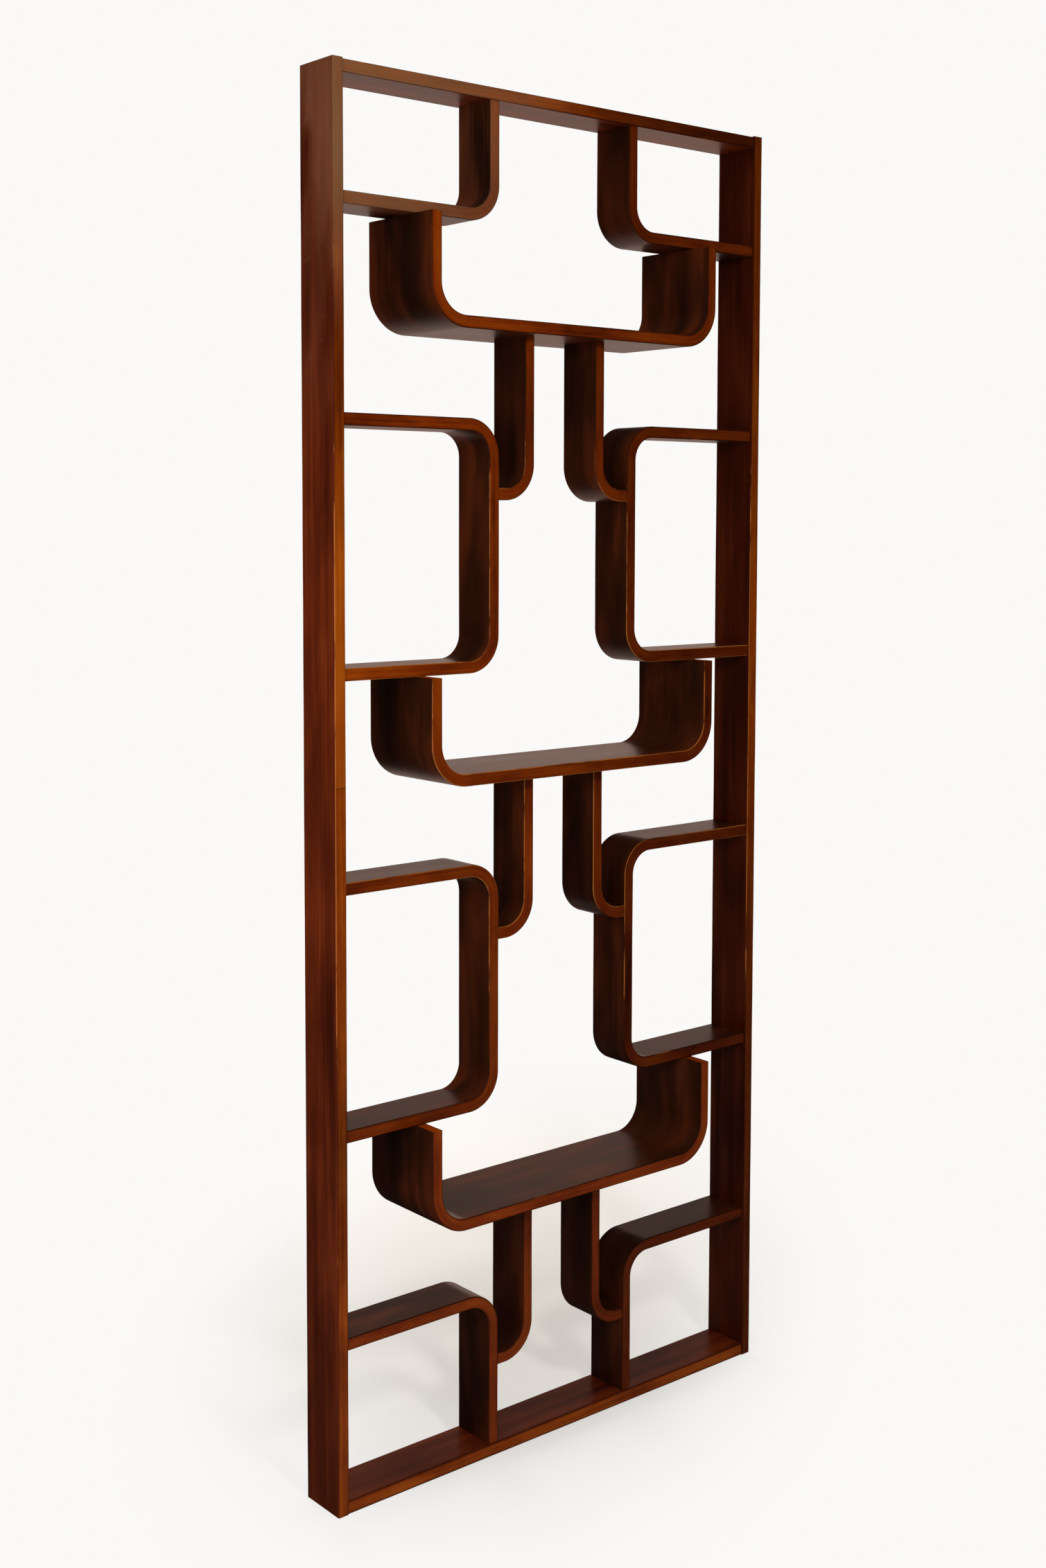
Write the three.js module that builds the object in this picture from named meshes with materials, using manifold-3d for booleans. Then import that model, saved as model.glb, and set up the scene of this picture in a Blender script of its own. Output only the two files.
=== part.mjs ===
// Room divider of bent laminated wood, in millimetres. X runs to the right, Y to the back, Z up.
// The origin is on the floor, in the middle of the width and of the depth.
//
// Two stiles and two rails make a tall frame. Inside it hang tiers of bent pieces: a wide U-shaped
// tray, two J-shaped hooks that hold it up from below, and two C-shaped brackets that stand on its
// arms and reach the stiles. L-shaped angles close the stack against the bottom and the top rail.
// Every butt joint holds one loose tenon in two blind mortises.
import * as THREE from "three";
import { mergeVertices } from "three/addons/utils/BufferGeometryUtils.js";
import Module from "manifold-3d";

const wasm = await Module();
wasm.setup();

// Frame
const FRAME_WIDTH = 940; // over both stiles
const STILE_THICKNESS = 20;
const STILE_DEPTH = 88;
const STILE_HORN = 1.5; // how far the stiles stand above the top rail
const RAIL_DEPTH = 85;
const BOTTOM_RAIL_THICKNESS = 22;
const TOP_RAIL_THICKNESS = 20;

// Bent pieces
const STOCK = 20; // thickness of the glued plies
const BENT_DEPTH = 82; // brackets, angles and hooks
const BEND_RADIUS = 40; // inside radius of brackets, angles and hooks
const CHANNEL_WIDTH = 286; // clear width between the left and the right brackets
const BOTTOM_ANGLE_HEIGHT = 263;
const BRACKET_HEIGHT = 411;
const TOP_ANGLE_HEIGHT = 194;

// Trays and the hooks under them
const TIERS = ["lower", "middle", "upper"];
const TRAY_WIDTH = 626;
const TRAY_HEIGHT = 176;
const TRAY_DEPTH = 167;
const TRAY_BEND_RADIUS = 50; // inside
const TRAY_RISE = 137; // clear height between a tray and the plate below it
const HOOK_HEIGHT = 268;
const HOOK_SPREAD = 136; // clear width between the left and the right hook

// Joints and edges
const TENON_THICKNESS = 8;
const TENON_SHOULDER = 13; // wood in front of and behind the tenon in a bent piece
const TENON_REACH = 10; // into the end of a piece
const FIT_GAP = 0.3; // round a tenon and at its ends
const ARRIS = 1; // softened front and back edges
const BEND_FACETS = 16; // flats to a quarter turn
const TENON_FACETS = 4; // flats to a tenon's half-round edge

// Levels and widths that follow
const SIDES = { left: -1, right: 1 };
const INNER_HALF = FRAME_WIDTH / 2 - STILE_THICKNESS; // middle of the frame to a stile's inner face
const PLATE_REACH = INNER_HALF - CHANNEL_WIDTH / 2; // a bracket's or an angle's whole width
const FIRST_TIER = BOTTOM_RAIL_THICKNESS + BOTTOM_ANGLE_HEIGHT;
const TRAY_TOP = TRAY_RISE + TRAY_HEIGHT; // above the tier's floor
const TIER_PITCH = TRAY_TOP + BRACKET_HEIGHT;
const TOP_RAIL_BOTTOM = FIRST_TIER + (TIERS.length - 1) * TIER_PITCH + TRAY_TOP + TOP_ANGLE_HEIGHT;
const STILE_HEIGHT = TOP_RAIL_BOTTOM + TOP_RAIL_THICKNESS + STILE_HORN;
const TENON_WIDTH = BENT_DEPTH - 2 * TENON_SHOULDER;

const FINISHES = {
  frame: { color: 0x6a3018, roughness: 0.38, metalness: 0 },
  bent: { color: 0x59240f, roughness: 0.34, metalness: 0 },
  tray: { color: 0x5f2a17, roughness: 0.36, metalness: 0 },
  tenon: { color: 0xc8a06c, roughness: 0.7, metalness: 0 },
};

function point(x, z) {
  return new THREE.Vector2(x, z);
}

// Where a strip runs: the points of its middle line and the direction across it to the left of the
// way it goes. The route turns square at each inner corner, round an arc of middleRadius at most:
// an arc leaves the straight end that a tenon needs, or half of a run between two bends.
function stationsAlong(route, middleRadius) {
  const runs = route.slice(1).map((end, i) => end.clone().sub(route[i]));
  const ways = runs.map((run) => run.clone().normalize());
  const roomIn = (i) => {
    const free = i === 0 || i === runs.length - 1;
    return free ? runs[i].length() - TENON_REACH - FIT_GAP : runs[i].length() / 2;
  };
  const leftOf = (way) => point(-way.y, way.x);
  const stations = [{ at: route[0], left: leftOf(ways[0]) }];
  for (let i = 1; i < ways.length; i++) {
    const [before, after] = [ways[i - 1], ways[i]];
    const turn = Math.sign(before.cross(after));
    const radius = Math.min(middleRadius, roomIn(i - 1), roomIn(i));
    const centre = route[i].clone().addScaledVector(before, -radius).addScaledVector(after, radius);
    for (let k = 0; k <= BEND_FACETS; k++) {
      const angle = ((k / BEND_FACETS) * Math.PI) / 2;
      const outward = before.clone().multiplyScalar(Math.sin(angle));
      outward.addScaledVector(after, -Math.cos(angle));
      const at = centre.clone().addScaledVector(outward, radius);
      stations.push({ at, left: outward.multiplyScalar(-turn) });
    }
  }
  stations.push({ at: route.at(-1), left: leftOf(ways.at(-1)) });
  return stations;
}

// A board of even thickness that follows a route in the XZ plane, centred on Y = 0, with its front
// and back edges softened. A straight board is a route of two points.
function laminatedBoard(route, thickness, depth, insideRadius = 0) {
  const stations = stationsAlong(route, insideRadius + thickness / 2);
  const edge = (offset) => stations.map(({ at, left }) => at.clone().addScaledVector(left, offset));
  const outline = new THREE.Shape([...edge(thickness / 2), ...edge(-thickness / 2).reverse()]);
  const board = new THREE.ExtrudeGeometry(outline, {
    depth: depth - 2 * ARRIS,
    bevelThickness: ARRIS,
    bevelSize: ARRIS,
    bevelOffset: -ARRIS,
    bevelSegments: 1,
  });
  board.translate(0, 0, ARRIS - depth / 2);
  return board.rotateX(Math.PI / 2);
}

// The loose tenon, or with a gap its mortise cutter: a flat tongue with half-round edges. It lies
// along X or Z, and reaches different depths to the two sides of the joint's plane.
function tongue(along, reachBack, reachOn, gap) {
  const radius = TENON_THICKNESS / 2 + gap;
  const centre = TENON_WIDTH / 2 - TENON_THICKNESS / 2;
  const outline = new THREE.Shape();
  outline.absarc(centre, 0, radius, -Math.PI / 2, Math.PI / 2, false);
  outline.absarc(-centre, 0, radius, Math.PI / 2, (3 * Math.PI) / 2, false);
  const length = reachBack + reachOn + 2 * gap;
  const solid = new THREE.ExtrudeGeometry(outline, {
    depth: length,
    curveSegments: TENON_FACETS / 2,
    bevelEnabled: false,
  });
  solid.translate(0, 0, -reachBack - gap).rotateZ(Math.PI / 2);
  return along === "x" ? solid.rotateY(Math.PI / 2) : solid;
}

function toSolid(geometry) {
  const bare = geometry.clone().deleteAttribute("normal").deleteAttribute("uv");
  const merged = mergeVertices(bare);
  const vertProperties = merged.attributes.position.array;
  const triVerts = new Uint32Array(merged.index.array);
  return new wasm.Manifold(new wasm.Mesh({ numProp: 3, vertProperties, triVerts }));
}

function toGeometry(solid) {
  const { vertProperties, triVerts } = solid.getMesh();
  const geometry = new THREE.BufferGeometry();
  geometry.setAttribute("position", new THREE.BufferAttribute(vertProperties, 3));
  geometry.setIndex(new THREE.BufferAttribute(triVerts, 1));
  const faceted = geometry.toNonIndexed();
  faceted.computeVertexNormals();
  return faceted;
}

function piece(name, geometry, finish, x = 0, z = 0) {
  const mesh = new THREE.Mesh(geometry, new THREE.MeshStandardMaterial(FINISHES[finish]));
  mesh.name = name;
  mesh.position.set(x, 0, z);
  return mesh;
}

// Profiles. A side of -1 or 1 draws the left or the right piece, measured from its inner face.

function uprightBoard(thickness, height, depth) {
  return laminatedBoard([point(0, 0), point(0, height)], thickness, depth);
}

function levelBoard(width, thickness, depth) {
  return laminatedBoard([point(-width / 2, 0), point(width / 2, 0)], thickness, depth);
}

function trayBoard() {
  const arm = (TRAY_WIDTH - STOCK) / 2;
  const floor = STOCK / 2;
  const route = [
    point(-arm, TRAY_HEIGHT),
    point(-arm, floor),
    point(arm, floor),
    point(arm, TRAY_HEIGHT),
  ];
  return laminatedBoard(route, STOCK, TRAY_DEPTH, TRAY_BEND_RADIUS);
}

function hookBoard(side) {
  const middle = STOCK / 2;
  const toe = (CHANNEL_WIDTH - HOOK_SPREAD) / 2;
  const route = [
    point(side * middle, HOOK_HEIGHT),
    point(side * middle, middle),
    point(side * toe, middle),
  ];
  return laminatedBoard(route, STOCK, BENT_DEPTH, BEND_RADIUS);
}

function bracketBoard(side) {
  const middle = STOCK / 2;
  const route = [
    point(side * PLATE_REACH, BRACKET_HEIGHT - middle),
    point(side * middle, BRACKET_HEIGHT - middle),
    point(side * middle, middle),
    point(side * PLATE_REACH, middle),
  ];
  return laminatedBoard(route, STOCK, BENT_DEPTH, BEND_RADIUS);
}

function bottomAngleBoard(side) {
  const middle = STOCK / 2;
  const route = [
    point(side * middle, 0),
    point(side * middle, BOTTOM_ANGLE_HEIGHT - middle),
    point(side * PLATE_REACH, BOTTOM_ANGLE_HEIGHT - middle),
  ];
  return laminatedBoard(route, STOCK, BENT_DEPTH, BEND_RADIUS);
}

function topAngleBoard(side) {
  const middle = STOCK / 2;
  const route = [
    point(side * middle, TOP_ANGLE_HEIGHT),
    point(side * middle, middle),
    point(side * PLATE_REACH, middle),
  ];
  return laminatedBoard(route, STOCK, BENT_DEPTH, BEND_RADIUS);
}

// Stiles, rails and the two bottom angles, which stand on the bottom rail.
function buildFrame() {
  const frame = new THREE.Group();
  for (const [hand, side] of Object.entries(SIDES)) {
    const stile = uprightBoard(STILE_THICKNESS, STILE_HEIGHT, STILE_DEPTH);
    frame.add(piece(`stile_${hand}`, stile, "frame", side * (INNER_HALF + STILE_THICKNESS / 2)));
    const angle = bottomAngleBoard(side);
    const inner = (side * CHANNEL_WIDTH) / 2;
    frame.add(piece(`angle_bottom_${hand}`, angle, "bent", inner, BOTTOM_RAIL_THICKNESS));
  }
  const bottomRail = levelBoard(2 * INNER_HALF, BOTTOM_RAIL_THICKNESS, RAIL_DEPTH);
  const topRail = levelBoard(2 * INNER_HALF, TOP_RAIL_THICKNESS, RAIL_DEPTH);
  frame.add(piece("rail_bottom", bottomRail, "frame", 0, BOTTOM_RAIL_THICKNESS / 2));
  frame.add(piece("rail_top", topRail, "frame", 0, TOP_RAIL_BOTTOM + TOP_RAIL_THICKNESS / 2));
  return frame;
}

// One tier: the tray, its hooks, and the brackets on its arms, or the top angles on the last tier.
// The group's own level is the upper face of the plates below it.
function buildTier(index) {
  const tier = new THREE.Group();
  tier.position.z = FIRST_TIER + index * TIER_PITCH;
  const level = TIERS[index];
  tier.add(piece(`tray_${level}`, trayBoard(), "tray", 0, TRAY_RISE));
  for (const [hand, side] of Object.entries(SIDES)) {
    const hookX = (side * HOOK_SPREAD) / 2;
    const plateX = (side * CHANNEL_WIDTH) / 2;
    const hookZ = TRAY_RISE - HOOK_HEIGHT;
    tier.add(piece(`hook_${level}_${hand}`, hookBoard(side), "bent", hookX, hookZ));
    const last = index === TIERS.length - 1;
    const name = last ? `angle_top_${hand}` : `bracket_${level}_${hand}`;
    const board = last ? topAngleBoard(side) : bracketBoard(side);
    tier.add(piece(name, board, "bent", plateX, TRAY_TOP));
  }
  return tier;
}

// A joint: one piece's end meets another's face at x, z. The tenon reaches TENON_REACH into the end
// and half way through the face, towards +X or -X, or towards +Z or -Z.
function joint(name, end, face, x, z, along, towards, faceThickness) {
  return { name, end, face, x, z, along, towards, faceReach: faceThickness / 2 };
}

function frameJoints(hand, side) {
  const legX = side * (CHANNEL_WIDTH / 2 + STOCK / 2);
  const stileX = side * INNER_HALF;
  const stile = `stile_${hand}`;
  const angle = `angle_bottom_${hand}`;
  const bottomMiddle = BOTTOM_RAIL_THICKNESS / 2;
  const topMiddle = TOP_RAIL_BOTTOM + TOP_RAIL_THICKNESS / 2;
  const railFace = BOTTOM_RAIL_THICKNESS;
  const plateZ = FIRST_TIER - STOCK / 2;
  const top = `angle_top_${hand}`;
  return [
    joint(`rail_bottom_${hand}`, "rail_bottom", stile, stileX, bottomMiddle, "x", side, STILE_THICKNESS),
    joint(`rail_top_${hand}`, "rail_top", stile, stileX, topMiddle, "x", side, STILE_THICKNESS),
    joint(`${angle}_leg`, angle, "rail_bottom", legX, railFace, "z", -1, BOTTOM_RAIL_THICKNESS),
    joint(`${angle}_plate`, angle, stile, stileX, plateZ, "x", side, STILE_THICKNESS),
    joint(`${top}_leg`, top, "rail_top", legX, TOP_RAIL_BOTTOM, "z", 1, TOP_RAIL_THICKNESS),
  ];
}

function tierJoints(index, hand, side) {
  const level = TIERS[index];
  const base = FIRST_TIER + index * TIER_PITCH;
  const last = index === TIERS.length - 1;
  const above = last ? `angle_top_${hand}` : `bracket_${level}_${hand}`;
  const beside = index === 0 ? `angle_bottom_${hand}` : `bracket_${TIERS[index - 1]}_${hand}`;
  const tray = `tray_${level}`;
  const hook = `hook_${level}_${hand}`;
  const stile = `stile_${hand}`;
  const middle = STOCK / 2;
  const armX = side * (TRAY_WIDTH / 2 - middle);
  const hookX = side * (HOOK_SPREAD / 2 + middle);
  const toeX = (side * CHANNEL_WIDTH) / 2;
  const toeZ = base + TRAY_RISE - HOOK_HEIGHT + middle;
  const stileX = side * INNER_HALF;
  const lowPlate = base + TRAY_TOP + middle;
  const highPlate = base + TIER_PITCH - middle;
  const joints = [
    joint(`${tray}_arm_${hand}`, tray, above, armX, base + TRAY_TOP, "z", 1, STOCK),
    joint(`${hook}_head`, hook, tray, hookX, base + TRAY_RISE, "z", 1, STOCK),
    joint(`${hook}_toe`, hook, beside, toeX, toeZ, "x", side, STOCK),
    joint(`${above}_plate`, above, stile, stileX, lowPlate, "x", side, STILE_THICKNESS),
  ];
  if (!last) {
    joints.push(joint(`${above}_top_plate`, above, stile, stileX, highPlate, "x", side, STILE_THICKNESS));
  }
  return joints;
}

function listJoints() {
  const joints = [];
  for (const [hand, side] of Object.entries(SIDES)) {
    joints.push(...frameJoints(hand, side));
    TIERS.forEach((_, index) => joints.push(...tierJoints(index, hand, side)));
  }
  return joints;
}

// A joint's tongue, with the longer reach on the side that the joint points to.
function jointTongue({ along, towards, faceReach }, gap) {
  const reaches = towards > 0 ? [TENON_REACH, faceReach] : [faceReach, TENON_REACH];
  return tongue(along, ...reaches, gap);
}

// Cuts each joint's mortise into both of its pieces, and puts the tenons into the divider.
function fitJoints(divider, joints) {
  divider.updateMatrixWorld(true);
  const cutters = new Map();
  for (const each of joints) {
    for (const name of [each.end, each.face]) {
      const target = divider.getObjectByName(name);
      const place = target.worldToLocal(new THREE.Vector3(each.x, 0, each.z));
      const cutter = toSolid(jointTongue(each, FIT_GAP).translate(place.x, place.y, place.z));
      cutters.set(target, [...(cutters.get(target) ?? []), cutter]);
    }
    divider.add(piece(`tenon_${each.name}`, jointTongue(each, 0), "tenon", each.x, each.z));
  }
  for (const [target, list] of cutters) {
    const blank = toSolid(target.geometry);
    target.geometry = toGeometry(list.reduce((rest, cutter) => rest.subtract(cutter), blank));
  }
}

const divider = new THREE.Group();
divider.add(buildFrame(), ...TIERS.map((_, index) => buildTier(index)));
fitJoints(divider, listJoints());

export default divider;
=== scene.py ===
"""Visual model of a room divider of bent laminated wood, in metres: X right, Y back, Z up.

The boards are swept along the middle lines of the frame's pieces. Each vertex also keeps its place
on the flat board before bending (along, across, through), which is where the grain is drawn, and
its board's lot, a number from 0 to 1 that moves the grain to a part of the pattern of its own.
"""

import math
import random

import bpy
from mathutils import Matrix, Vector
from mathutils.noise import noise


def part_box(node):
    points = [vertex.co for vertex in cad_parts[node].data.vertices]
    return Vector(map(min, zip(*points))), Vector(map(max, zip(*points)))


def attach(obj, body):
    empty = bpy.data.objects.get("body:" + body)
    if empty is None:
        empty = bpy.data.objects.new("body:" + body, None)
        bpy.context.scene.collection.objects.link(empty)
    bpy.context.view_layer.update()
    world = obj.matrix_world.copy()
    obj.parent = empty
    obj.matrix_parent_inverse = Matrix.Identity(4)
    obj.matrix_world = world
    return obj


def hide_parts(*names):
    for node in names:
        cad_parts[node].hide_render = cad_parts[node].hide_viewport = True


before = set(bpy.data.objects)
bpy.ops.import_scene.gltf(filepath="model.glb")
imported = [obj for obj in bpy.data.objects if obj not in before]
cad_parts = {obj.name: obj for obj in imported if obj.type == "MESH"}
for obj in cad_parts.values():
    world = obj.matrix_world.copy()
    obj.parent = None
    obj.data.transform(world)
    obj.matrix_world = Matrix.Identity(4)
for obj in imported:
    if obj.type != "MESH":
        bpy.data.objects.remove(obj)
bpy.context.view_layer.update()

# Boards
STOCK = 0.020  # thickness of the bent boards
BEND_RADIUS = 0.040  # inside, of brackets, angles and hooks
TRAY_BEND_RADIUS = 0.050  # inside
ARRIS_RADIUS = 0.0018  # rounding of the long edges
ARRIS_UNEVENNESS = 0.35  # share by which hand sanding varies that radius
ARRIS_WAVES = 9  # to a metre of board
ARRIS_LOTS_APART = 50  # waves between lots 0 and 1
END_ROUNDING = 0.0006

# Seam in the front lipping of the left stile
SEAM_NODE = "stile_left"
SEAM_LEVEL = 1.158
SEAM_WIDTH = 0.002
SEAM_DEPTH = 0.0006
FACING_FRONT = -0.9  # a section's normal is under this on the front edge
SAME_PLACE = 1e-7  # distances along a board that are nearer than this are one

# Mesh density
STATION_SPACING = 0.025
BEND_STEPS = 28
ARRIS_STEPS = 5

# Heights and places between which wear, tone and painted light change
PALE_LIPPING_END = (1.58, 1.68)  # the paler lipping runs from the seam to here
WORN_AND_HIGHLIT_FROM = (0.6, 0.85)  # the arrises are rubbed and carry a painted highlight most between these two ramps
WORN_AND_HIGHLIT_UNTIL = (1.5, 1.75)
# the left stile's scuffs and a painted hazy sheen grow towards its top between these heights
SCUFF_AND_SHEEN_FROM = (1.7, 2.15)
# a painted sheen greys the top-left boards: it rises between these heights
PAINTED_SHEEN_FROM = (1.85, 2.12)
PAINTED_SHEEN_UNTIL = (-0.28, 0.04)  # along X, where the painted sheen ends

# Photograph's view: a fitted camera
PHOTO_SIZE = (1509, 2263)
PHOTO_FOCAL = 2699.98  # pixels
PHOTO_CENTRE = (716.55, 941.02)
CAMERA_PLACE = Vector((-2.0877, -2.3960, 1.5659))
CAMERA_YAW = math.radians(-39.475)
CAMERA_PITCH = math.radians(-3.962)
CAMERA_ROLL = math.radians(0.081)
SENSOR = 36.0  # millimetres

# Studio
BRIGHT_SIDE = (0.643, 0.766)  # level direction of the bright side of the room
BRIGHT_SIDE_SPREAD = (0.85, 0.96)  # cosines from that direction
BRIGHT_FLOOR_SPREAD = (0.7, 0.9)  # the lit floor is wider
BRIGHT_SIDE_HEIGHT = (0.12, 0.42)  # sines of the elevation
BRIGHT_WALL = (1.25, 0.89, 0.75, 1.0)  # warm, and as light as white
DIM_WALL = (0.045, 0.032, 0.027, 1.0)
BRIGHT_FLOOR = (0.74, 0.525, 0.444, 1.0)
DIM_FLOOR = (0.02, 0.014, 0.012, 1.0)
FILL = (0.06, 0.06, 0.06, 1.0)
BACKGROUND = (0.955, 0.95, 0.935, 1.0)
FLOOR_SIZE = 60
FLOOR_COLOUR = (0.7, 0.655, 0.605, 1.0)
SHADOW_POOL = (0.45, 0.6)  # middle of the part of the floor that shows the divider's shadow
SHADOW_POOL_TURN = math.radians(41)
SHADOW_POOL_REACH = (1.0, 0.5)
SHADOW_POOL_EDGE = (0.25, 1.5)  # the shadow fades out between these, in reaches
LIT_FLOOR_FROM = (0.5, 1.6)  # the reflected light on the floor fades in between these
SOFTBOXES = {  # place, what it is turned to, width, height and watts
    "left_softbox": ((-1.7, -0.3, 1.35), (-0.4, 0.0, 1.25), 0.9, 1.5, 17.5),
    "front_softbox": ((-0.65, -2.2, 2.3), (0.0, 0.0, 0.9), 0.3, 0.3, 27),
    "front_left_softbox": ((-1.3, -1.05, 1.35), (-0.2, 0.0, 1.2), 0.8, 1.3, 5.5),
    "high_left_softbox": ((-1.5, -1.6, 2.9), (0.0, 0.0, 1.5), 1.2, 1.0, 7),
    "overhead_softbox": ((0.0, 0.0, 4.0), (0.0, 0.0, 0.0), 2.0, 2.0, 82),
    "right_softbox": ((2.5, 0.4, 1.0), (0.4, 0.0, 1.2), 1.2, 1.6, 36),
    "back_softbox": ((0.5, 2.6, 1.0), (0.0, 0.0, 1.2), 1.4, 1.6, 55),
}


# ---------------------------------------------------------------- routes


def inner_and_outer(low, high):
    """The X of a side piece's end by the middle of the divider, and of its end by the stile."""
    return (low.x, high.x) if low.x + high.x > 0 else (high.x, low.x)


def inset(value, towards, by):
    return value + math.copysign(by, towards - value)


def stile_route(low, high):
    middle = (low.x + high.x) / 2
    return [(middle, low.z), (middle, high.z)]


def rail_route(low, high):
    middle = (low.z + high.z) / 2
    return [(low.x, middle), (high.x, middle)]


def tray_route(low, high):
    left, right, floor = low.x + STOCK / 2, high.x - STOCK / 2, low.z + STOCK / 2
    return [(left, high.z), (left, floor), (right, floor), (right, high.z)]


def hook_route(low, high):
    """Down the upright and out along the toe. A top angle runs the same way."""
    inner, outer = inner_and_outer(low, high)
    upright, toe = inset(inner, outer, STOCK / 2), low.z + STOCK / 2
    return [(upright, high.z), (upright, toe), (outer, toe)]


def bracket_route(low, high):
    inner, outer = inner_and_outer(low, high)
    upright, bottom, top = inset(inner, outer, STOCK / 2), low.z + STOCK / 2, high.z - STOCK / 2
    return [(outer, top), (upright, top), (upright, bottom), (outer, bottom)]


def bottom_angle_route(low, high):
    inner, outer = inner_and_outer(low, high)
    upright, plate = inset(inner, outer, STOCK / 2), high.z - STOCK / 2
    return [(upright, low.z), (upright, plate), (outer, plate)]


def stations_along(route, middle_radius, marks=()):
    """Places on a route with its heading there and the length walked, as (place, heading, along).

    Straight runs are split evenly, with a station at each mark, and corners become quarter bends.
    """
    corners = [Vector(corner) for corner in route]
    headings = [(b - a).normalized() for a, b in zip(corners, corners[1:])]
    stations = []
    walked = 0.0
    start = corners[0]
    for i, heading in enumerate(headings):
        last = i == len(headings) - 1
        end = corners[i + 1] if last else corners[i + 1] - heading * middle_radius
        length = (end - start).length
        count = max(1, math.ceil(length / STATION_SPACING))
        steps = {length * k / count for k in range(count)}
        steps |= {mark - walked for mark in marks if 0 < mark - walked < length}
        stations += [(start + heading * step, heading, walked + step) for step in sorted(steps)]
        walked += length
        if last:
            stations.append((end, heading, walked))
            break
        after = headings[i + 1]
        centre = end + after * middle_radius
        for k in range(BEND_STEPS):
            angle = math.pi / 2 * k / BEND_STEPS
            outward = heading * math.sin(angle) - after * math.cos(angle)
            turned = heading * math.cos(angle) + after * math.sin(angle)
            place = centre + outward * middle_radius
            stations.append((place, turned, walked + angle * middle_radius))
        walked += math.pi / 2 * middle_radius
        start = corners[i + 1] + after * middle_radius
    return stations


def near_end(station, step):
    place, heading, along = station
    return place + heading * step, heading, along + step


def with_rounded_ends(stations):
    """The stations with how much smaller the board's section is at each: it shrinks at the ends."""
    first, last = stations[0], stations[-1]
    starting = [(first, END_ROUNDING), (near_end(first, END_ROUNDING), 0.0)]
    ending = [(near_end(last, -END_ROUNDING), 0.0), (last, END_ROUNDING)]
    return starting + [(station, 0.0) for station in stations[1:-1]] + ending


# ---------------------------------------------------------------- wear, tone and painted light along a board


def rise(value, low, high):
    """A ramp from 0 to 1 as value goes from low to high."""
    return max(0.0, min(1.0, (value - low) / (high - low)))


def pale_lipping(node, height):
    """1 on the paler length of lipping, which starts sharply at the seam and ends softly."""
    return float(node == SEAM_NODE and height > SEAM_LEVEL) * (1 - rise(height, *PALE_LIPPING_END))


def scuff_and_sheen_at(node, height):
    """How far the left stile is scuffed and carries a painted hazy sheen, towards its top."""
    return float(node == SEAM_NODE) * rise(height, *SCUFF_AND_SHEEN_FROM)


def worn_and_highlit_at(height):
    """1 at mid height, where the arrises are rubbed and carry a painted highlight."""
    return rise(height, *WORN_AND_HIGHLIT_FROM) * (1 - rise(height, *WORN_AND_HIGHLIT_UNTIL))


def painted_sheen_at(node, place):
    """How far a few boards carry a painted sheen: towards the top, and towards the left end."""
    if node not in PAINTED_SHEEN_FACES:
        return 0.0
    return rise(place.z, *PAINTED_SHEEN_FROM) * (1 - rise(place.x, *PAINTED_SHEEN_UNTIL))


def share_at(shares, along):
    """The share at a distance along a board, from one number or from (distance, share) pairs."""
    if not isinstance(shares, tuple):
        return shares
    for (start, start_share), (end, end_share) in zip(shares, shares[1:]):
        if start <= along <= end:
            return start_share + (end_share - start_share) * rise(along, start, end)
    return 0.0


def tone_values(node, places, alongs):
    """For each vertex, what the finishes read of the board's tone and wear, and of the light and
    shade painted on it.
    """
    faded = [painted_sheen_at(node, place) for place in places]
    return {
        "pale_lipping": [pale_lipping(node, place.z) for place in places],
        "dark_edge": [share_at(DARK_EDGES.get(node, 0.0), along) for along in alongs],
        "scuffed": [scuff_and_sheen_at(node, place.z) for place in places],
        "faded": faded,
        "faded_face": [share * PAINTED_SHEEN_FACES.get(node, 0.0) for share in faded],
        "hand_height": [worn_and_highlit_at(place.z) for place in places],
        "dark_cut": [share_at(DARK_CUTS_AND_SHADE.get(node, 0.0), along) for along in alongs],
    }


# ---------------------------------------------------------------- boards


def rounded_section(thickness, depth, radius):
    """Points round a board's section as (across, through, normal across, normal through)."""
    points = []
    for quarter, (sign_across, sign_through) in enumerate([(1, 1), (-1, 1), (-1, -1), (1, -1)]):
        centre_across = sign_across * (depth / 2 - radius)
        centre_through = sign_through * (thickness / 2 - radius)
        for k in range(ARRIS_STEPS + 1):
            angle = math.pi / 2 * (quarter + k / ARRIS_STEPS)
            cos, sin = math.cos(angle), math.sin(angle)
            points.append((centre_across + radius * cos, centre_through + radius * sin, cos, sin))
    return points


def sanded_radius(along, lot):
    """The arris radius at a place along a board: hand sanding leaves it slightly uneven."""
    wave = noise(Vector((along * ARRIS_WAVES, lot * ARRIS_LOTS_APART, 0)))
    return ARRIS_RADIUS * (1 + ARRIS_UNEVENNESS * wave)


def seam_groove(node):
    """Depths of a fine V groove across a board's front edge, by the distance along the board."""
    if node != SEAM_NODE:
        return {}
    half = SEAM_WIDTH / 2
    return {SEAM_LEVEL - half: 0.0, SEAM_LEVEL: SEAM_DEPTH, SEAM_LEVEL + half: 0.0}


def groove_depth(groove, along):
    return next((depth for at, depth in groove.items() if abs(at - along) < SAME_PLACE), 0.0)


def edge_share(n_across):
    """How far a section's normal has turned, from a face (0) to an edge (1)."""
    return abs(math.asin(max(-1, min(1, n_across)))) / (math.pi / 2)


def in_room(direction):
    """A direction on a route's plane as a direction in the room."""
    return Vector((direction.x, 0, direction.y))


def skin(rings, count):
    """Quads between rings of count points each, and the two caps."""
    sides = []
    for first in range(0, (rings - 1) * count, count):
        for k in range(count):
            step = (k + 1) % count
            sides.append((first + k, first + step, first + count + step, first + count + k))
    caps = [tuple(range(count))[::-1], tuple(range((rings - 1) * count, rings * count))]
    return sides, caps


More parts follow.
